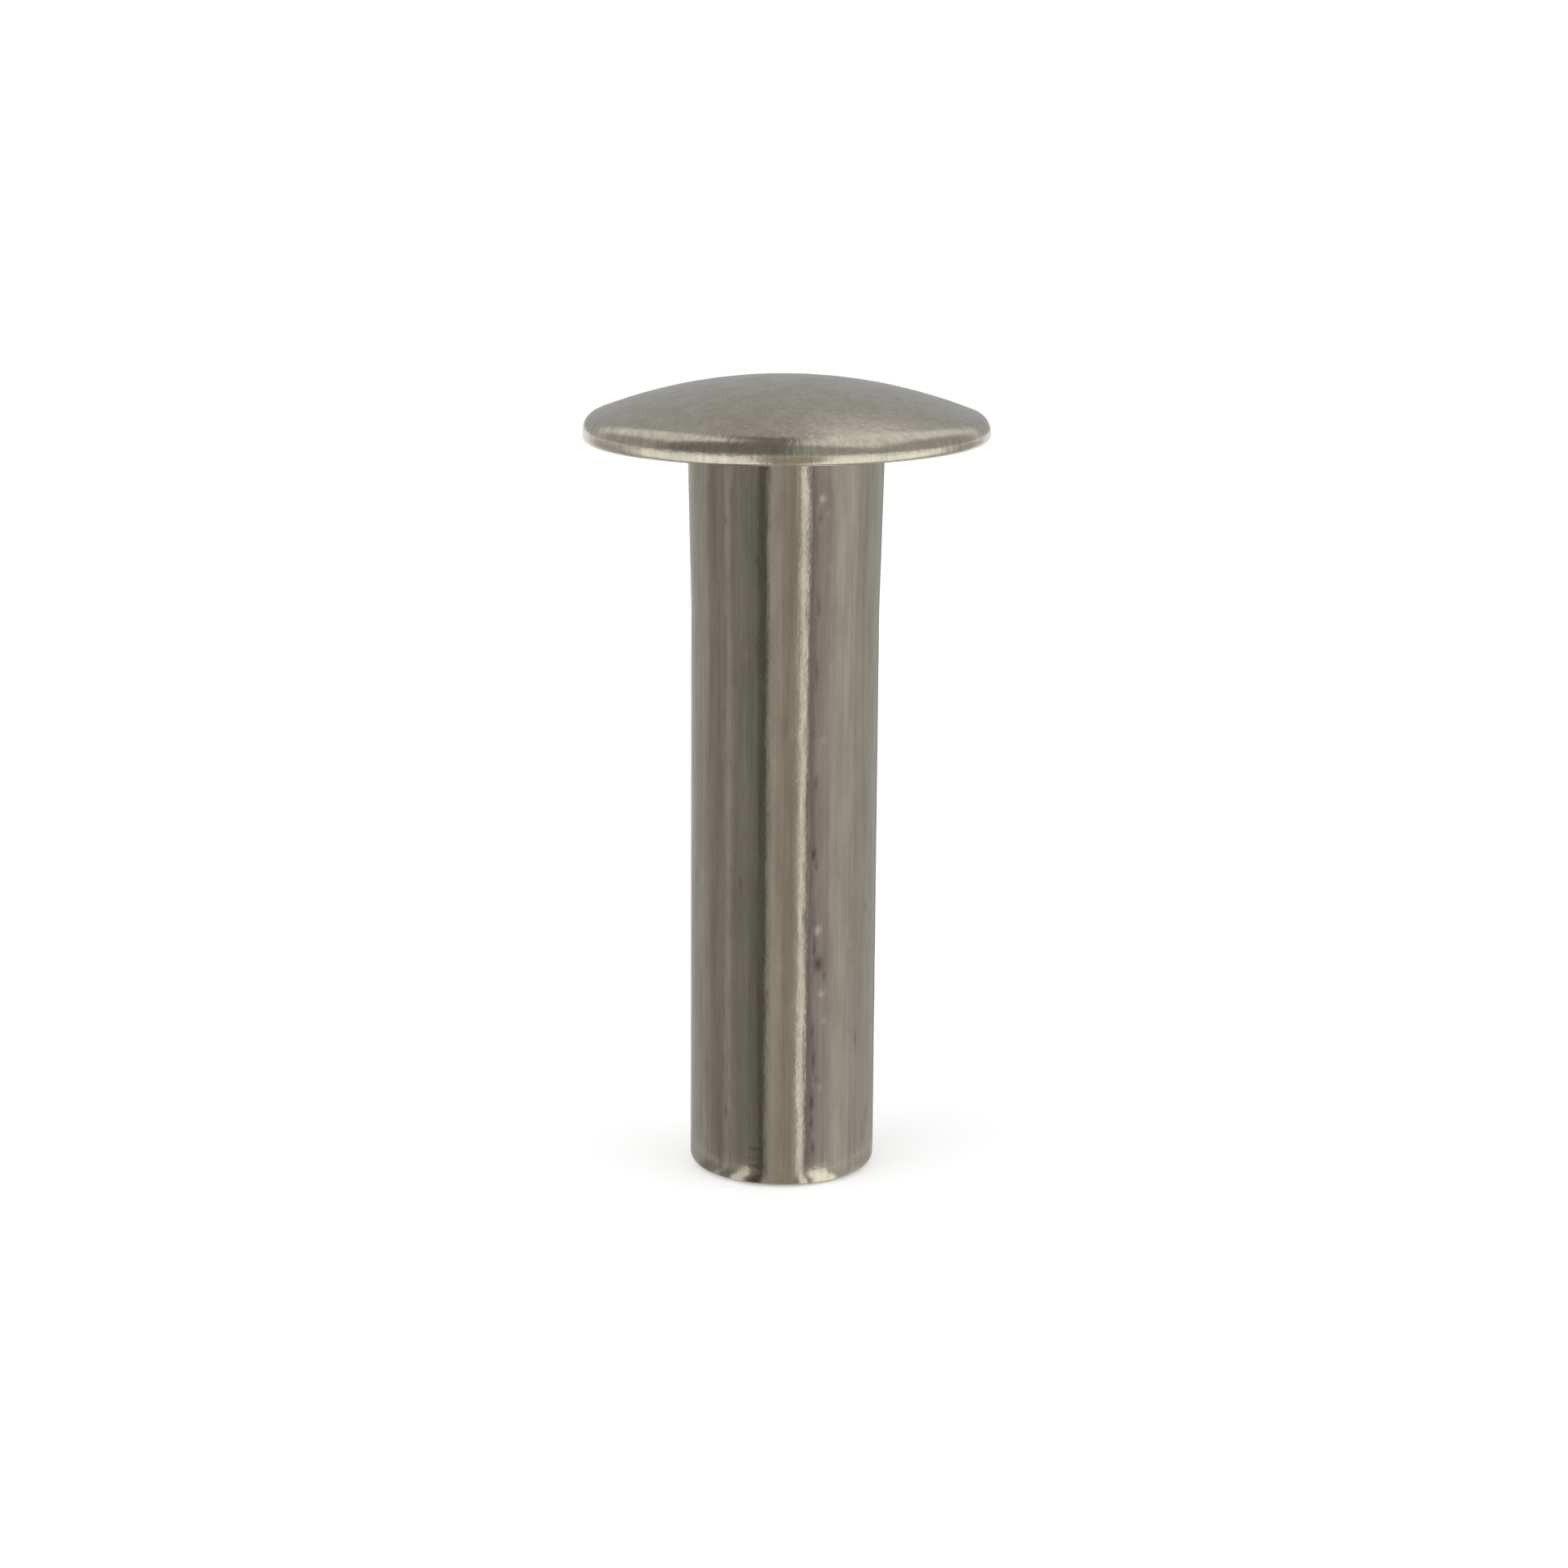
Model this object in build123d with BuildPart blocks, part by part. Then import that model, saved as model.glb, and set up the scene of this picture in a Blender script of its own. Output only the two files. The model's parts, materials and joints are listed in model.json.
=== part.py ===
"""Hollow rivet: a cold-headed steel rivet with a closed, shallow domed head and a tubular shank.

Millimetres, +Z up. The rivet stands on its open end: the origin is the centre of the end ring,
the shank rises along +Z and the head is on top.
"""

from build123d import *
import os
from math import asin, degrees, radians, tan

# Shank
shank_diameter = 4.0
shank_length = 15.87  # from the open end to the seat under the head
end_round = 0.25  # outer edge of the open end

# Neck, where the shank was upset a little when the head was struck
neck_swell = 0.08  # how far the neck's radius grows over its length
neck_length = 3.6
neck_fillet = 0.15

# Bore, open at the shank's end and blind towards the head
wall_thickness = 0.6
mouth_chamfer = 0.15  # inner edge of the open end
point_angle = 118.0  # included angle of the conical bottom of the bore
solid_length = 1.2  # solid metal between the tip of the bore and the seat under the head

# Head: flat seat, narrow rim and a dome that is part of a sphere
head_diameter = 8.6
dome_radius = 11.1
rim_top_round = 0.4
rim_band = 0.06  # straight height of the rim between its two rounds
rim_bottom_round = 0.15

# Radii and heights that follow from the sizes above
shank_radius = shank_diameter / 2
neck_radius = shank_radius + neck_swell
head_radius = head_diameter / 2
bore_radius = shank_radius - wall_thickness
cone_height = bore_radius / tan(radians(point_angle / 2))
bore_tip = shank_length - solid_length
bore_shoulder = bore_tip - cone_height
neck_start = shank_length - neck_length

# The two edges of the end ring share the wall, and neither may take more than its part of it.
round_share = 0.45
chamfer_share = 0.3
outer_round = min(end_round, round_share * wall_thickness)
inner_chamfer = min(mouth_chamfer, chamfer_share * wall_thickness)

# The dome meets the rim's top round where both have the same slope.
dome_half_angle = degrees(asin((head_radius - rim_top_round) / (dome_radius - rim_top_round)))

with BuildPart() as rivet:
    with BuildSketch(Plane.XZ):
        with BuildLine():
            # Bore, from its tip down to the mouth
            Polyline(
                (0, bore_tip),
                (bore_radius, bore_shoulder),
                (bore_radius, inner_chamfer),
                (bore_radius + inner_chamfer, 0),
                (shank_radius - outer_round, 0),
            )
            # Rounded outer edge, then the straight shank and the neck
            JernArc((shank_radius - outer_round, 0), (1, 0), outer_round, 90)
            Polyline(
                (shank_radius, outer_round),
                (shank_radius, neck_start),
                (neck_radius, shank_length),
                (head_radius - rim_bottom_round, shank_length),
            )
            # Rim and dome, each arc starting along the end of the one before it
            rim_bottom = JernArc(
                (head_radius - rim_bottom_round, shank_length), (1, 0), rim_bottom_round, 90
            )
            band = Line(rim_bottom @ 1, rim_bottom @ 1 + Vector(0, rim_band))
            rim_top = JernArc(band @ 1, band % 1, rim_top_round, 90 - dome_half_angle)
            dome = JernArc(rim_top @ 1, rim_top % 1, dome_radius, dome_half_angle)
            Line(dome @ 1, (0, bore_tip))
        make_face()
    revolve(axis=Axis.Z)
    # Inside corner between the neck and the seat
    seat_corner_point = (neck_radius, 0, shank_length)
    seat_corner = rivet.edges().filter_by(GeomType.CIRCLE).sort_by_distance(seat_corner_point)[0]
    fillet(seat_corner, radius=neck_fillet)

rivet.part.label = "rivet"

os.makedirs("parts", exist_ok=True)
export_step(rivet.part, "parts/rivet.step")
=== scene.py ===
"""Nickel-plated hollow rivet: a shallow domed head closed over a tubular shank.

The rivet stands on its open end at z = 0, its axis is the Z axis and its front faces -Y. All sizes are in metres.
"""

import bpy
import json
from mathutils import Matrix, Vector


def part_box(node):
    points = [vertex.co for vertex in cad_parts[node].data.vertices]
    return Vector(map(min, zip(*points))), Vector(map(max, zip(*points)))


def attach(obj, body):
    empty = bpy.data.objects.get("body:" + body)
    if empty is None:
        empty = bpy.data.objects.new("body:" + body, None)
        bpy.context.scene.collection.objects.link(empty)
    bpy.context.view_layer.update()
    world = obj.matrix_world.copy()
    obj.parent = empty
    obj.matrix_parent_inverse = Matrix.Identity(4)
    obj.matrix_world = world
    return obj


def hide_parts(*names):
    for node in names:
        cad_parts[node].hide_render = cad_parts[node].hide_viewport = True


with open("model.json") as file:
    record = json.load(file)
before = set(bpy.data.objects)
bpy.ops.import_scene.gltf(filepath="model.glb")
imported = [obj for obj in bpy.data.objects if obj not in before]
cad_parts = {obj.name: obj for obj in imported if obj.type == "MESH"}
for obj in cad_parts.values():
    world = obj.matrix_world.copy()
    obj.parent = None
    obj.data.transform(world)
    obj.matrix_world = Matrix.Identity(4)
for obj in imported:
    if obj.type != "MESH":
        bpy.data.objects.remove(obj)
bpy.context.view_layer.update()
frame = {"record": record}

import json
from math import asin, cos, degrees, pi, radians, sin, tan

import bpy
import numpy as np
from bpy.props import FloatProperty, FloatVectorProperty, IntProperty, PointerProperty
from mathutils import Matrix, Vector

bl_info = {
    "name": "Hollow rivet",
    "version": (1, 0, 0),
    "blender": (4, 5, 0),
    "location": "View3D > Sidebar > Rivet",
    "description": "Makes a nickel-plated hollow rivet and the small studio it stands in",
    "category": "Object",
}

MM = 0.001  # one millimetre in metres
SEED = 7  # every random draw starts from this number
WHITE = (1, 1, 1, 1)

MOUNTS = {mount["name"]: mount for mount in frame["record"]["mounts"]}
HEAD_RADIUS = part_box("rivet")[1].x
SHANK_RADIUS = MOUNTS["shank"]["dims"]["r_mm"] * MM
BORE_RADIUS = MOUNTS["bore"]["dims"]["r_mm"] * MM
SEAT_HEIGHT = MOUNTS["seat"]["pos_m"][2]


# ------------------------------------------------------------------ colours and settings


def linear(hex_colour):
    """Linear red, green and blue of an sRGB hex colour: v / 12.92 below 0.04045, else ((v + 0.055) / 1.055) ^ 2.4."""
    value = np.array([int(hex_colour[i:i + 2], 16) for i in (1, 3, 5)]) / 255
    return tuple(np.where(value <= 0.04045, value / 12.92, ((value + 0.055) / 1.055) ** 2.4).tolist())


def length(name, description, millimetres):
    """A length property that is shown in the scene's unit."""
    return FloatProperty(name=name, description=description, default=millimetres * MM, min=0.0, precision=6,
                         subtype="DISTANCE", unit="LENGTH")


def turn(name, description, value):
    """An angle property, given in degrees."""
    return FloatProperty(name=name, description=description, default=radians(value), subtype="ANGLE", unit="ROTATION")


def share(name, description, value, highest=1.0):
    """A plain number property between 0 and its highest value."""
    return FloatProperty(name=name, description=description, default=value, min=0.0, max=highest)


def colour(name, description, hex_colour):
    """A colour property."""
    return FloatVectorProperty(name=name, description=description, default=linear(hex_colour), subtype="COLOR",
                               min=0.0, max=1.0)


class RivetShape(bpy.types.PropertyGroup):
    """Sizes of the rivet's edges, neck and dome, and of the unevenness that heading and plating leave."""

    end_round: length("End round", "Radius of the outer edge of the open end", 0.25)
    mouth_chamfer: length("Mouth chamfer", "Chamfer at the mouth of the bore", 0.15)
    point_angle: turn("Point angle", "Full angle of the cone at the blind end of the bore", 118.0)
    solid_length: length("Solid length", "Solid metal between the bore and the seat under the head", 1.2)
    neck_swell: length("Neck swell", "How far the radius grows along the neck", 0.08)
    neck_length: length("Neck length", "Length of the swelling neck under the head", 3.6)
    neck_fillet: length("Neck fillet", "Fillet between the neck and the seat", 0.15)
    rim_bottom_round: length("Rim bottom round", "Radius of the lower edge of the rim", 0.15)
    rim_band: length("Rim band", "Height of the straight part of the rim", 0.06)
    rim_top_round: length("Rim top round", "Radius of the upper edge of the rim", 0.4)
    dome_radius: length("Dome radius", "Radius of the sphere that the dome is cut from", 11.1)
    steps: IntProperty(name="Steps", description="Points round the axis", default=320, min=32, max=512)
    ripple: length("Ripple", "Height of the long waves that drawing and plating leave on the shank", 0.0020)
    dent: length("Dent depth", "Depth of the deepest small pits in the plating", 0.012)
    rim_ripple: length("Rim ripple", "How far the rim is out of round", 0.010)
    rim_tilt: length("Rim tilt", "How far the lower edge of the rim is higher on the right", 0.035)


class RivetFinish(bpy.types.PropertyGroup):
    """Colours and gloss of the plating."""

    plate: colour("Plate", "Clean nickel plate", "#B5AFA2")
    dull_plate: colour("Dull plate", "Plate with a thin film of oxide", "#A29C8F")
    # brighter colour on the raised specks: the specks stand out in the shape, and their glint is painted on
    speck_highlight_colour: colour("Bright speck", "Raised specks that handling has polished", "#E4DED2")
    # dark colour given to the pits and nicks
    grime: colour("Grime", "Dirt held in pits and scratches", "#595246")
    roughness: share("Roughness", "Roughness of the satin plate", 0.19)


class RivetStudio(bpy.types.PropertyGroup):
    """Floor, light and camera."""

    floor_colour: colour("Floor", "White paper under the rivet", "#F4F4F4")
    sky_strength: share("Sky strength", "Even light from all round", 0.62, 10.0)
    camera_distance: length("Camera distance", "From the aim point to the camera", 76.8)
    camera_height: turn("Camera height", "Angle of the camera above the floor", 12.67)
    camera_roll: turn("Camera roll", "How far the camera is turned about its line of sight", 0.395)
    aim_height: length("Aim height", "Height on the axis that the camera looks at", 8.45)
    lens: FloatProperty(name="Lens", description="Focal length on a 36 mm sensor", default=82.0, min=1.0,
                        subtype="DISTANCE_CAMERA")


# ------------------------------------------------------------------ nodes and meshes


def add_node(tree, kind, settings=None, links=None):
    """Adds one node, with settings by property or socket name and links by socket name or number."""
    node = tree.nodes.new(kind)
    for key, value in (settings or {}).items():
        if isinstance(key, str) and hasattr(node, key):
            setattr(node, key, value)
        else:
            node.inputs[key].default_value = value
    for key, socket in (links or {}).items():
        tree.links.new(socket, node.inputs[key])
    return node


# the colour sockets of a mix node, given by number because their names are also those of its other sockets
COLOUR_A, COLOUR_B, MIXED_COLOUR = 6, 7, 2


def new_material(name):
    """An empty node material."""
    material = bpy.data.materials.new(name)
    material.use_nodes = True
    material.node_tree.nodes.clear()
    return material, material.node_tree


def put_mesh(name, points, faces, material):
    """Makes an object at the origin from an array of points and lists of faces."""
    mesh = bpy.data.meshes.new(name)
    mesh.from_pydata(points, [], faces)
    mesh.update()
    mesh.shade_smooth()
    mesh.materials.append(material)
    piece = bpy.data.objects.new(name, mesh)
    bpy.context.scene.collection.objects.link(piece)
    return piece


def put_values(piece, name, values):
    """Stores one number for each point, as an attribute that a material can read."""
    attribute = piece.data.attributes.new(name, "FLOAT", "POINT")
    attribute.data.foreach_set("value", values.astype(np.float32))


def put_colours(piece, name, values):
    """Stores one colour for each point, as an attribute that a material can read."""
    attribute = piece.data.attributes.new(name, "FLOAT_COLOR", "POINT")
    attribute.data.foreach_set("color", np.insert(values, 3, 1.0, axis=1).astype(np.float32).ravel())


def straight(start, end, count):
    """Evenly spaced points from start to end without the start: p = start + (end - start) t."""
    t = np.linspace(0, 1, count + 1)[1:, None]
    return np.array(start) + (np.array(end) - np.array(start)) * t


def arc(centre, radius, start, end, count):
    """Points on a circle without the first: p = centre + radius (cos a, sin a), a in degrees."""
    a = np.radians(np.linspace(start, end, count + 1)[1:, None])
    return np.array(centre) + radius * np.concatenate([np.cos(a), np.sin(a)], axis=1)


def ring_faces(rows, steps):
    """Four-sided faces between neighbouring rings, each ring closed on itself."""
    row = np.arange(rows - 1)[:, None] * steps
    here = np.arange(steps)[None, :]
    there = (here + 1) % steps
    return np.stack([row + here, row + there, row + steps + there, row + steps + here], axis=2).reshape(-1, 4).tolist()


def fade(value, start, end):
    """Smooth step from 0 at start to 1 at end: 3 t^2 - 2 t^3."""
    t = np.clip((value - start) / (end - start), 0.0, 1.0)
    return t * t * (3 - 2 * t)


def ring(radius, bearing, height):
    """Points round the axis, at bearings counted from the front in radians: (R sin b, -R cos b, z)."""
    return np.stack([radius * np.sin(bearing), -radius * np.cos(bearing), np.full(len(bearing), height)], axis=1)


# ------------------------------------------------------------------ the rivet


BORE, SHANK, HEAD = 0, 1, 2  # zones of the outline


def rivet_outline(shape):
    """Half section of the rivet as (radius, height) rows, and the zone of each row.

    It runs from the tip of the bore down its wall, round the open end, up the shank and over the head to the apex.
    """
    bore_tip = SEAT_HEIGHT - shape.solid_length
    bore_shoulder = bore_tip - BORE_RADIUS / tan(shape.point_angle / 2)
    mouth = BORE_RADIUS + shape.mouth_chamfer
    neck_radius = SHANK_RADIUS + shape.neck_swell
    neck_start = SEAT_HEIGHT - shape.neck_length
    fillet_bottom = SEAT_HEIGHT - shape.neck_fillet
    rim_middle = SEAT_HEIGHT + shape.rim_bottom_round
    rim_top = rim_middle + shape.rim_band
    ball = shape.dome_radius - shape.rim_top_round
    dome_angle = degrees(asin((HEAD_RADIUS - shape.rim_top_round) / ball))
    dome_centre = rim_top - ball * cos(radians(dome_angle))
    sections = (
        (BORE, np.array([[0.0, bore_tip]])),
        (BORE, straight((0, bore_tip), (BORE_RADIUS, bore_shoulder), 6)),
        (BORE, straight((BORE_RADIUS, bore_shoulder), (BORE_RADIUS, shape.mouth_chamfer), 6)),
        (BORE, straight((BORE_RADIUS, shape.mouth_chamfer), (mouth, 0), 2)),
        (BORE, straight((mouth, 0), (SHANK_RADIUS - shape.end_round, 0), 2)),
        (SHANK, arc((SHANK_RADIUS - shape.end_round, shape.end_round), shape.end_round, -90, 0, 8)),
        (SHANK, straight((SHANK_RADIUS, shape.end_round), (SHANK_RADIUS, neck_start), 158)),
        (SHANK, straight((SHANK_RADIUS, neck_start), (neck_radius, fillet_bottom), 42)),
        (SHANK, arc((neck_radius + shape.neck_fillet, fillet_bottom), shape.neck_fillet, 180, 90, 5)),
        (HEAD, straight((neck_radius + shape.neck_fillet, SEAT_HEIGHT),
                        (HEAD_RADIUS - shape.rim_bottom_round, SEAT_HEIGHT), 8)),
        (HEAD, arc((HEAD_RADIUS - shape.rim_bottom_round, rim_middle), shape.rim_bottom_round, -90, 0, 8)),
        (HEAD, straight((HEAD_RADIUS, rim_middle), (HEAD_RADIUS, rim_top), 2)),
        (HEAD, arc((HEAD_RADIUS - shape.rim_top_round, rim_top), shape.rim_top_round, 0, 90 - dome_angle, 10)),
        (HEAD, arc((0, dome_centre), shape.dome_radius, 90 - dome_angle, 90, 38)),
    )
    zones = np.concatenate([np.full(len(rows), zone) for zone, rows in sections])
    return np.concatenate([rows for zone, rows in sections]), zones


def wave_field(rng, height, around, count, waves_round, waves_up):
    """Sum of count sine waves, sin(n a + k z + phase), each a whole number n round; about 1 at its highest."""
    total = np.zeros(np.broadcast(height, around).shape)
    for _ in range(count):
        n = rng.integers(waves_round[0], waves_round[1] + 1)
        k = rng.uniform(*waves_up) * rng.choice((-1, 1)) * 2 * pi / MM
        total += np.sin(n * around + k * height + rng.uniform(0, 2 * pi))
    return total / (2 * count ** 0.5)


DOME_RIPPLE = 1.6  # waves on the dome against those on the shank
RIM_START = 0.8  # share of the head's radius where the rim's waves begin
PIT_DARK_SHARE = 0.85  # how far the deepest pit is darkened

# Pits and specks are five numbers each: height on the shank in mm, degrees to the right of the front, half width
# and half height in mm, and share of the deepest pit (below 0 it stands out). These are the lowest and highest
# values of the scattered ones.
SPOT_COUNT = 110
SPOT_RANGES = ((0.4, 15.2), (-180, 180), (0.035, 0.07), (0.05, 0.22), (-0.25, 0.4))
# the plain ones
NICKS = (
    (7.35, 18, 0.05, 0.14, 0.9), (7.10, 20, 0.04, 0.10, 0.6), (4.95, 22, 0.11, 0.16, 1.0),
    (4.70, 26, 0.05, 0.10, 0.6), (5.30, 19, 0.04, 0.16, 0.7), (1.90, 18, 0.05, 0.15, 0.8),
    (3.50, 18, 0.04, 0.13, 0.5), (2.85, 19, 0.04, 0.18, 0.6), (2.40, 21, 0.05, 0.07, 0.5),
    (1.45, 18, 0.04, 0.10, 0.7), (0.90, 19, 0.05, 0.12, 0.6), (12.6, 20, 0.04, 0.18, 0.5),
    (11.2, 19, 0.04, 0.25, 0.4), (8.90, 19, 0.04, 0.12, 0.5), (14.5, 20, 0.05, 0.09, 0.5),
    (6.70, -27, 0.04, 0.12, 0.4), (0.85, -17, 0.14, 0.03, 0.6), (0.66, -19, 0.16, 0.03, 0.7),
    (0.46, -16, 0.15, 0.03, 0.8), (0.30, -18, 0.12, 0.03, 0.6), (14.9, 21, 0.09, 0.07, -1.0),
    (5.70, 21, 0.08, 0.09, -1.2), (4.30, 24, 0.07, 0.06, -0.8), (3.70, 26, 0.05, 0.05, -0.5),
    (14.6, 25, 0.05, 0.04, -0.4), (9.80, 24, 0.05, 0.06, -0.4), (2.20, 24, 0.05, 0.06, -0.4),
)


def unevenness(shape, outline, zones, around):
    """How far each point stands out from the true surface, how dark its pit is made and how much its raised speck is
    brightened as a painted highlight.

    The waves and the scattered spots are drawn in this order: shank, dome, rim, spots.
    """
    rng = np.random.default_rng(SEED)
    radius, height = outline[:, :1], outline[:, 1:]
    shank = (zones == SHANK)[:, None] * fade(height, 0.0, 0.3 * MM) * (
        1 - fade(height, SEAT_HEIGHT - 0.3 * MM, SEAT_HEIGHT))
    head = (zones == HEAD)[:, None] * fade(height, SEAT_HEIGHT, SEAT_HEIGHT + 0.2 * MM)
    dome = head * fade(radius, 0.0, 1.2 * MM)
    rim = head * fade(radius, RIM_START * HEAD_RADIUS, HEAD_RADIUS)
    out = shank * shape.ripple * wave_field(rng, height, around, count=30, waves_round=(4, 34), waves_up=(0.1, 1.1))
    out += dome * shape.ripple * DOME_RIPPLE * wave_field(
        rng, 1.5 * radius, around, count=30, waves_round=(3, 24), waves_up=(0.2, 0.9))
    out += rim * shape.rim_ripple * wave_field(
        rng, height, around, count=10, waves_round=(2, 9), waves_up=(0.0, 0.1))
    # each spot: -depth exp(-(across / half width)^2 - (along / half height)^2)
    spots = np.stack([rng.uniform(low, high, SPOT_COUNT) for low, high in SPOT_RANGES], axis=1)
    grime, polish = np.zeros(out.shape), np.zeros(out.shape)
    for up, right, wide, high, depth in np.concatenate([spots, np.array(NICKS)]):
        off = (around + pi / 2 - radians(right) + pi) % (2 * pi) - pi
        spot = shank * np.exp(-(off * radius / (wide * MM)) ** 2 - ((height - up * MM) / (high * MM)) ** 2)
        out -= shape.dent * depth * spot
        # pits get a share of the dark pit colour, by their depth
        grime = np.maximum(grime, PIT_DARK_SHARE * spot * np.clip(depth, 0, 1))
        # raised specks get the bright colour, a painted highlight on them
        polish = np.maximum(polish, spot * np.clip(-depth, 0, 1))
    return out, grime, polish


DRAW_LINE_WIDTH = 0.12 * MM
FILM_PATCH_WIDTH = 0.4 * MM
GRAIN_WIDTH = 0.11 * MM  # coarser than the real one so that it shows
RELIEF_HEIGHT = 0.005 * MM
LINE_RELIEF = 0.7  # height of the draw lines against the grain
FILM_RANGE = (0.78, 1.22)  # sums of the draw lines' and film's noise at which the film is absent and full
GLOSS_SPREAD = (-0.05, 0.07)  # roughness under and over the plate's own, as the film thickens


def plate_noise(tree, width, along, detail, roughness):
    """Noise with features of the given width, and width / along long on the rivet's axis."""
    place = add_node(tree, "ShaderNodeTexCoord").outputs["Object"]
    drawn = add_node(tree, "ShaderNodeMapping", {"Scale": (1.0, 1.0, along)}, {"Vector": place})
    noise = add_node(tree, "ShaderNodeTexNoise", {"Scale": 1 / width, "Detail": detail, "Roughness": roughness},
                     {"Vector": drawn.outputs["Vector"]})
    return noise.outputs["Fac"]


def nickel_plate(finish):
    """Dull nickel plate, barrel plated over cold-drawn steel and handled since.

    It gives the eye a warm grey satin mirror with fine lengthwise draw lines, a slight mottle and dark pits.
    """
    material, tree = new_material("nickel_plate_satin")
    lines = plate_noise(tree, DRAW_LINE_WIDTH, along=0.03, detail=2.0, roughness=0.6)
    film = plate_noise(tree, FILM_PATCH_WIDTH, along=0.27, detail=4.0, roughness=0.65)
    grain = plate_noise(tree, GRAIN_WIDTH, along=1.0, detail=3.0, roughness=0.6)
    streaky = add_node(tree, "ShaderNodeMath", {"operation": "ADD"}, {0: lines, 1: film})
    film_amount = add_node(tree, "ShaderNodeMapRange", {"From Min": FILM_RANGE[0], "From Max": FILM_RANGE[1]},
                           {"Value": streaky.outputs["Value"]})
    plate = add_node(tree, "ShaderNodeMix", {"data_type": "RGBA", COLOUR_A: (*finish.plate, 1.0),
                                             COLOUR_B: (*finish.dull_plate, 1.0)},
                     {"Factor": film_amount.outputs["Result"]})
    # raised specks get a brighter colour, a painted highlight; pits get the darker pit colour
    for attribute, tint in (("polish", finish.speck_highlight_colour), ("grime", finish.grime)):
        amount = add_node(tree, "ShaderNodeAttribute", {"attribute_name": attribute})
        plate = add_node(tree, "ShaderNodeMix", {"data_type": "RGBA", COLOUR_B: (*tint, 1.0)},
                         {"Factor": amount.outputs["Fac"], COLOUR_A: plate.outputs[MIXED_COLOUR]})
    gloss = add_node(tree, "ShaderNodeMapRange", {"To Min": finish.roughness + GLOSS_SPREAD[0],
                                                  "To Max": finish.roughness + GLOSS_SPREAD[1]}, {"Value": film})
    relief = add_node(tree, "ShaderNodeMath", {"operation": "MULTIPLY_ADD", 1: LINE_RELIEF}, {0: lines, 2: grain})
    bump = add_node(tree, "ShaderNodeBump", {"Strength": 1.0, "Distance": RELIEF_HEIGHT},
                    {"Height": relief.outputs["Value"]})
    shader = add_node(tree, "ShaderNodeBsdfPrincipled", {"Metallic": 1.0},
                      {"Base Color": plate.outputs[MIXED_COLOUR], "Roughness": gloss.outputs["Result"],
                       "Normal": bump.outputs["Normal"]})
    add_node(tree, "ShaderNodeOutputMaterial", links={"Surface": shader.outputs["BSDF"]})
    return material


class RIVET_OT_body(bpy.types.Operator):
    """Make the plated rivet from its half section, turned about the axis"""

    bl_idname = "rivet.body"
    bl_label = "Plated rivet"

    def execute(self, context):
        """Points (r cos a, r sin a, z) of the turned outline, each moved along its normal by the unevenness."""
        shape = context.scene.rivet_shape
        outline, zones = rivet_outline(shape)
        around = np.arange(shape.steps)[None, :] * 2 * pi / shape.steps
        slope = np.gradient(outline, axis=0)
        normal = np.stack([slope[:, 1], -slope[:, 0]], axis=1) / np.linalg.norm(slope, axis=1)[:, None]
        out, grime, polish = unevenness(shape, outline, zones, around)
        radius = outline[:, :1] + out * normal[:, :1]
        height = outline[:, 1:] + out * normal[:, 1:]
        # the lower edge of the rim is slightly out of square: z + tilt cos a, gone by the top of the rim
        rim_bottom = fade(outline[:, :1], 0.6 * HEAD_RADIUS, HEAD_RADIUS) * (
            1 - fade(outline[:, 1:], SEAT_HEIGHT, SEAT_HEIGHT + 0.4 * MM))
        height = height + shape.rim_tilt * rim_bottom * np.cos(around)
        points = np.stack([radius * np.cos(around), radius * np.sin(around), height], axis=2)
        # the first and last rows are single points on the axis
        rings = points[1:-1].reshape(-1, 3)
        rows = len(outline) - 2
        tip, apex = len(rings), len(rings) + 1
        here = np.arange(shape.steps)
        there = (here + 1) % shape.steps
        last = (rows - 1) * shape.steps
        caps = (np.stack([there, here, np.full(shape.steps, tip)], axis=1).tolist()
                + np.stack([last + here, last + there, np.full(shape.steps, apex)], axis=1).tolist())
        piece = put_mesh("plated_rivet", np.concatenate([rings, points[:1, 0], points[-1:, 0]]),
                         ring_faces(rows, shape.steps) + caps, nickel_plate(context.scene.rivet_finish))
        for name, amount in (("grime", grime), ("polish", polish)):
            put_values(piece, name, np.concatenate([amount[1:-1].ravel(), [0.0, 0.0]]))
        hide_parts("rivet")
        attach(piece, "root")
        return {"FINISHED"}


# ------------------------------------------------------------------ the studio


CARD_STEPS = 720  # points round the axis on the cards with strips


def painted_reflection_glow(name):
    """A glowing colour, taken from the points' own colours, which paints reflections in the metal."""
    material, tree = new_material(name)
    paint = add_node(tree, "ShaderNodeAttribute", {"attribute_name": "paint"})
    glow = add_node(tree, "ShaderNodeEmission", {"Strength": 1.0}, {"Color": paint.outputs["Color"]})
    add_node(tree, "ShaderNodeOutputMaterial", links={"Surface": glow.outputs["Emission"]})
    return material


def put_card(name, paper, points, faces, colours):
    """Makes a glowing painted card that casts no shadow and is seen only in the metal, as studio cards outside the
    view are; its colours are painted reflections.
    """
    card = put_mesh(name, points, faces, painted_reflection_glow(paper))
    put_colours(card, "paint", colours)
    card.visible_camera = False
    card.visible_diffuse = False
    card.visible_transmission = False
    card.visible_shadow = False


def paint_strips(bearing, strips):
    """Colour at each bearing: each strip is laid over the ones before it, its edges faded."""
    paint = np.zeros((len(bearing), 3))
    for centre, half_width, softness, level, hex_colour in strips:
        off = np.abs((bearing - centre + 180) % 360 - 180)
        cover = 1 - fade(off, half_width - softness, half_width + softness) if half_width < 180 else np.ones_like(off)
        tint = np.array(linear(hex_colour))
        paint += (level * tint / tint.mean() - paint) * cover[:, None]
    return paint
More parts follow.
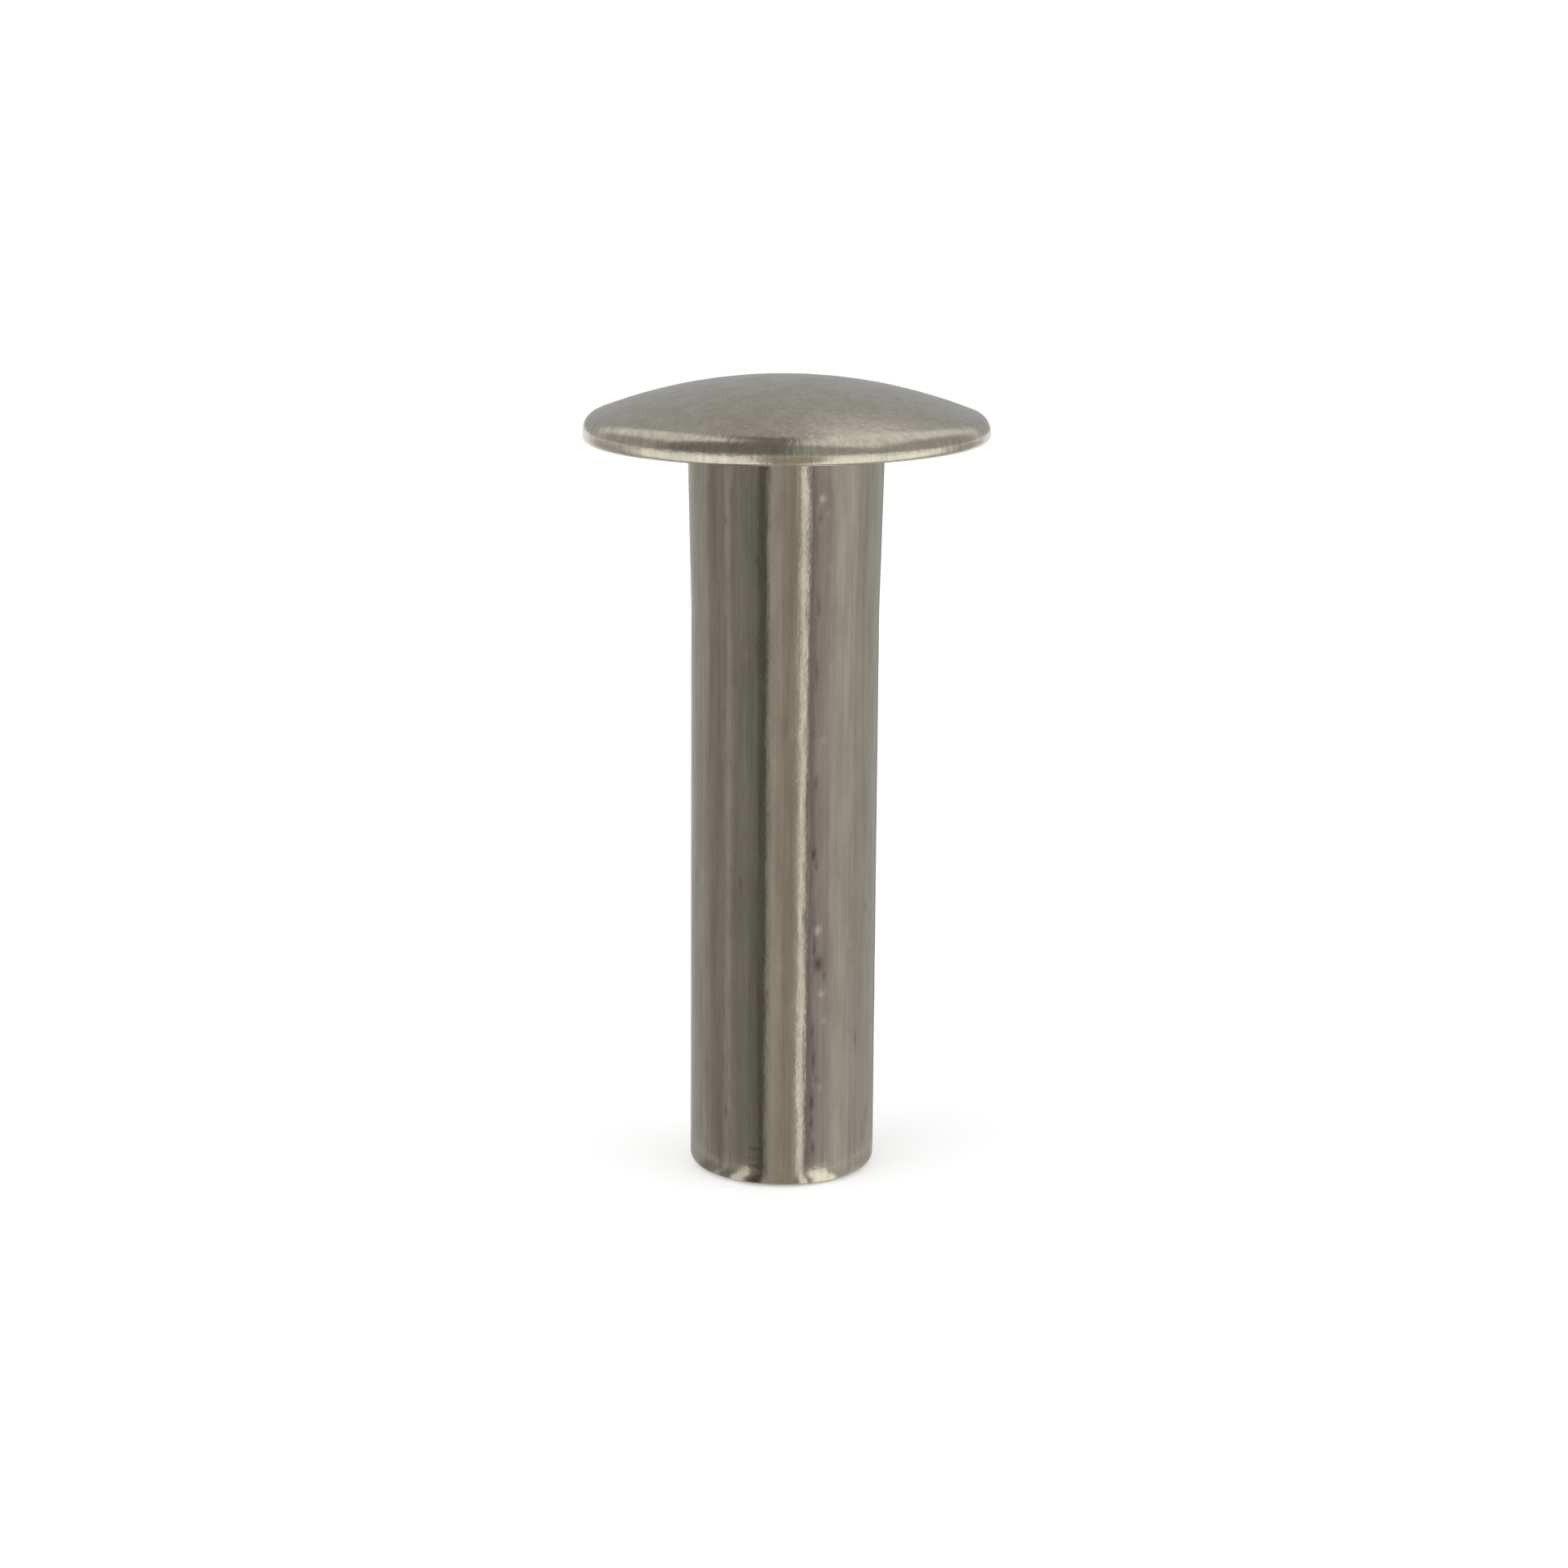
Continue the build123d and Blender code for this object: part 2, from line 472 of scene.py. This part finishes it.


# Strips on the glowing sleeve, which paint the reflection bands and the bright line along the shank, each laid over
# the
# ones before it: degrees to the right of the front, half width, softness of its edges, level and tint.
SHANK_REFLECTION_STRIPS = (
    (0, 180, 0, 0.56, "#FFFFFC"),
    (-88, 22, 12, 0.50, "#FFFFFA"),
    (-45, 28, 7, 0.33, "#FFFFFB"),
    (-49, 2.6, 2.6, 0.55, "#FFFFFB"),
    (-24, 6, 5, 0.27, "#FFFFFA"),
    (-17.5, 4.0, 2.5, 0.12, "#FFFBEB"),
    (-6, 5.0, 2.2, 0.53, "#FFF8EE"),
    (4, 6, 3, 0.42, "#FFF8EA"),
    (15.2, 2.7, 1.3, 1.45, "#FFFDFB"),
    (22.5, 4.2, 2.2, 0.25, "#FFF4F6"),
    (33, 8, 4, 0.51, "#FFF6FA"),
    (54, 13, 8, 0.68, "#FEFFFB"),
    (86, 18, 12, 0.54, "#FEFFFC"),
    (124, 8, 5, 0.33, "#FFFFFA"),
    (168, 7, 4, 0.25, "#FFFFFA"),
    (176, 2.5, 1.5, 0.95, "#FFFDFB"),
    (-150, 10, 5, 0.34, "#FFFBF0"),
    (-128, 3, 2, 0.85, "#FFFDFB"),
)
# the same for the glowing card on the floor, whose bright strips paint the highlight along the rim's lower edge, with
# a darker wedge in front where the camera stands, a painted reflection of the camera
FLOOR_REFLECTION_STRIPS = (
    (0, 180, 0, 0.60, "#FFFFFB"),
    (-52, 42, 16, 1.60, "#FFFFFB"),
    (56, 42, 16, 1.75, "#FFFFFB"),
    (180, 40, 16, 1.20, "#FFFFFB"),
    (2, 19, 5, 0.46, "#FFF8DC"),
)
# bright spots beside the open end, which paint highlights on its rounded edge
FOOT_HIGHLIGHT_SPOTS = (
    (30, 9, 3, 1.7, "#FFFFF6"),
    (-31, 5, 2.5, 1.2, "#FFFFFB"),
)


# outline of the sleeve, as radius and height: straight, 1 mm off the shank, then flared to the edge of the head, whose
# underside mirrors it too
SLEEVE_WALL = ((1.5 * SHANK_RADIUS, 0.02 * MM), (1.5 * SHANK_RADIUS, SEAT_HEIGHT - 1.1 * MM),
               (HEAD_RADIUS - 0.35 * MM, SEAT_HEIGHT - 0.05 * MM))


def make_sleeve():
    """A glowing sleeve round the shank, seen only in the metal, whose strips paint the shank's reflection bands."""
    bearing = np.arange(CARD_STEPS) * 360 / CARD_STEPS
    rings = [ring(radius, np.radians(bearing), height) for radius, height in SLEEVE_WALL]
    put_card("strip_sleeve", "printed_strips", np.concatenate(rings), ring_faces(len(SLEEVE_WALL), CARD_STEPS),
             np.tile(paint_strips(bearing, SHANK_REFLECTION_STRIPS), (len(SLEEVE_WALL), 1)))


TENT_RADIUS = 0.5
TENT_STEPS, TENT_ROWS = 180, 46
# levels of the glowing tent, which paint the reflections in the dome and rim: behind, how much it falls off straight
# behind, in front, and low down in front on the left
TENT_BEHIND, TENT_FALL, TENT_FRONT, TENT_LOW = 0.55, 0.05, 0.58, 0.30
# Panels: centre and half size in the directions right and back as seen from above, softness of the edges, level.
# The two bright ones paint the highlights along the rim's upper edge, the dark one between them the camera's
# reflection.
TENT_PANELS = (
    ((-0.50, 0.26), (0.28, 0.40), 0.10, 1.15),
    ((0.40, 0.10), (0.33, 0.62), 0.10, 1.20),
    ((-0.08, -0.30), (0.14, 0.72), 0.07, 0.25),
)


def make_tent():
    """A glowing half ball over the rivet, seen only in the metal, which paints the reflections in the dome and rim:
    (R cos e sin b, -R cos e cos b, R sin e).

    Two bright panels in it, left and right, paint the rim's upper highlights, and a dark panel between them paints the
    camera's reflection. A panel's cover is the product of a soft edge each way.
    """
    e = np.radians(np.linspace(-2, 90, TENT_ROWS))[:, None]
    b = np.arange(TENT_STEPS)[None, :] * 2 * pi / TENT_STEPS
    right, back, up = np.cos(e) * np.sin(b), -np.cos(e) * np.cos(b), np.sin(e) + 0 * b
    tone = TENT_BEHIND - TENT_FALL * fade(back, 0.85, 1.0)
    tone = tone + (TENT_FRONT - tone) * fade(-back, -0.35, 0.0)
    tone = tone + (TENT_LOW - tone) * fade(-back, 0.05, 0.42) * (1 - fade(right, -0.1, 0.2))
    for centre, half, soft, level in TENT_PANELS:
        across = 1 - fade(np.abs(right - centre[0]), half[0] - soft, half[0] + soft)
        along = 1 - fade(np.abs(back - centre[1]), half[1] - soft, half[1] + soft)
        tone = tone + (level - tone) * (across * along)
    # slightly yellow, and slightly blue straight behind
    tint = np.array([1.0, 1.0, 0.97]) + fade(back, 0.6, 1.0)[..., None] * np.array([-0.02, -0.01, 0.03])
    put_card("tent", "tent_cloth", TENT_RADIUS * np.stack([right, back, up], axis=2).reshape(-1, 3),
             ring_faces(TENT_ROWS, TENT_STEPS), (tone[..., None] * tint).reshape(-1, 3))


# rings of the glowing card on the floor: the inner two carry the sleeve's painted strips, the outer two paint the
# rim's lower highlight
FLOOR_CARD_RADII = (1.9 * MM, 2.9 * MM, 3.1 * MM, 200.0 * MM)
FLOOR_CARD_HEIGHT = 0.01 * MM


def make_floor_card():
    """A glowing card on the floor round the rivet, seen only in the metal, which carries the sleeve's painted strips
    on to the floor beside it.
    """
    bearing = np.arange(CARD_STEPS) * 360 / CARD_STEPS
    rings = [ring(radius, np.radians(bearing), FLOOR_CARD_HEIGHT) for radius in FLOOR_CARD_RADII]
    foot = paint_strips(bearing, SHANK_REFLECTION_STRIPS + FOOT_HIGHLIGHT_SPOTS)
    bright = paint_strips(bearing, FLOOR_REFLECTION_STRIPS)
    put_card("floor_card", "floor_paper", np.concatenate(rings), ring_faces(len(rings), CARD_STEPS),
             np.concatenate([foot, foot, bright, bright]))


def seen_by_eye(tree):
    """A socket that is 1 where the camera sees something, straight, in a reflection or through glass, else 0."""
    path = add_node(tree, "ShaderNodeLightPath")
    seen = path.outputs["Is Camera Ray"]
    for other in ("Is Glossy Ray", "Is Transmission Ray"):
        seen = add_node(tree, "ShaderNodeMath", {"operation": "MAXIMUM"}, {0: seen, 1: path.outputs[other]}).outputs[0]
    return seen


FLOOR_RADIUS = 15.0
FLOOR_STEPS = 64
FLOOR_GLOW = 0.35  # added where the floor is seen, so that it is as white as the room


def make_floor(studio):
    """A plain white floor, a disc that still takes the shadow."""
    material, tree = new_material("white_paper")
    strength = add_node(tree, "ShaderNodeMath", {"operation": "MULTIPLY", 1: FLOOR_GLOW}, {0: seen_by_eye(tree)})
    paper = add_node(tree, "ShaderNodeBsdfDiffuse", {"Color": (*studio.floor_colour, 1.0)})
    glow = add_node(tree, "ShaderNodeEmission", {"Color": WHITE}, {"Strength": strength.outputs[0]})
    both = add_node(tree, "ShaderNodeAddShader", links={0: paper.outputs[0], 1: glow.outputs[0]})
    add_node(tree, "ShaderNodeOutputMaterial", links={"Surface": both.outputs[0]})
    edge = ring(FLOOR_RADIUS, np.arange(FLOOR_STEPS) * 2 * pi / FLOOR_STEPS, 0.0)
    floor = put_mesh("floor", edge, [list(range(FLOOR_STEPS))], material)


def make_world(studio):
    """Even light from all round, white where it is seen."""
    world = bpy.data.worlds.new("studio_room")
    bpy.context.scene.world = world
    world.use_nodes = True
    tree = world.node_tree
    tree.nodes.clear()
    light = add_node(tree, "ShaderNodeBackground", {"Color": WHITE, "Strength": studio.sky_strength})
    white = add_node(tree, "ShaderNodeBackground", {"Color": WHITE, "Strength": 1.0})
    mix = add_node(tree, "ShaderNodeMixShader", links={0: seen_by_eye(tree), 1: light.outputs[0], 2: white.outputs[0]})
    add_node(tree, "ShaderNodeOutputWorld", links={"Surface": mix.outputs[0]})


LAMPS = (  # name, direction it shines in, strength
    ("left_lamp", (0.5, 0.35, -1.0), 0.55),
    ("right_lamp", (-0.6, 0.2, -1.0), 0.4),
)
LAMP_ANGLE = radians(50)  # wide, for a soft shadow


def make_lamps():
    """Wide, soft lamps from the upper left and right, which the metal doesn't mirror."""
    for name, aim, strength in LAMPS:
        light = bpy.data.lights.new(name, "SUN")
        light.angle = LAMP_ANGLE
        light.energy = strength
        lamp = bpy.data.objects.new(name, light)
        lamp.rotation_euler = Vector(aim).to_track_quat("-Z", "Y").to_euler()
        lamp.visible_glossy = False
        bpy.context.scene.collection.objects.link(lamp)


SENSOR_WIDTH = 36  # millimetres, as for the lens
NEAREST_SEEN, FARTHEST_SEEN = 1 * MM, 20


def make_camera(studio):
    """A camera in front that looks down at the axis."""
    data = bpy.data.cameras.new("camera")
    data.sensor_width = SENSOR_WIDTH
    data.lens = studio.lens
    data.clip_start = NEAREST_SEEN
    data.clip_end = FARTHEST_SEEN
    camera = bpy.data.objects.new("camera", data)
    back = Vector((0, -cos(studio.camera_height), sin(studio.camera_height)))
    right = Vector((1, 0, 0))
    facing = Matrix((right, back.cross(right), back)).transposed() @ Matrix.Rotation(studio.camera_roll, 3, "Z")
    aim = Vector((0, 0, studio.aim_height))
    camera.matrix_world = Matrix.Translation(aim + back * studio.camera_distance) @ facing.to_4x4()
    bpy.context.scene.collection.objects.link(camera)
    bpy.context.scene.camera = camera
    bpy.context.scene.view_settings.view_transform = "Standard"


class RIVET_OT_studio(bpy.types.Operator):
    """Make the floor, the cards that the metal reflects, the lamps and the camera"""

    bl_idname = "rivet.studio"
    bl_label = "Studio"

    def execute(self, context):
        """Floor first, then what lights it, then the camera."""
        studio = context.scene.rivet_studio
        make_floor(studio)
        make_floor_card()
        make_sleeve()
        make_tent()
        make_world(studio)
        make_lamps()
        make_camera(studio)
        return {"FINISHED"}


class RIVET_PT_panel(bpy.types.Panel):
    """Lists the settings and the steps that make the rivet"""

    bl_idname = "RIVET_PT_panel"
    bl_label = "Hollow rivet"
    bl_space_type = "VIEW_3D"
    bl_region_type = "UI"
    bl_category = "Rivet"

    def draw(self, context):
        """Every setting, group by group, then a button for each step."""
        for group in (context.scene.rivet_shape, context.scene.rivet_finish, context.scene.rivet_studio):
            box = self.layout.box()
            for name in group.__annotations__:
                box.prop(group, name)
        for operator in OPERATORS:
            self.layout.operator(operator.bl_idname)


GROUPS = {"rivet_shape": RivetShape, "rivet_finish": RivetFinish, "rivet_studio": RivetStudio}
OPERATORS = (RIVET_OT_body, RIVET_OT_studio)


def register():
    """Adds the classes and the three groups of settings to Blender."""
    for cls in (*GROUPS.values(), *OPERATORS, RIVET_PT_panel):
        bpy.utils.register_class(cls)
    for name, group in GROUPS.items():
        setattr(bpy.types.Scene, name, PointerProperty(type=group))


def unregister():
    """Takes them away again, in the opposite order."""
    for name in GROUPS:
        delattr(bpy.types.Scene, name)
    for cls in reversed((*GROUPS.values(), *OPERATORS, RIVET_PT_panel)):
        bpy.utils.unregister_class(cls)


def main():
    """Registers the add-on, then makes the rivet and the studio."""
    register()
    bpy.ops.rivet.body()
    bpy.ops.rivet.studio()


if __name__ == "__main__":
    main()
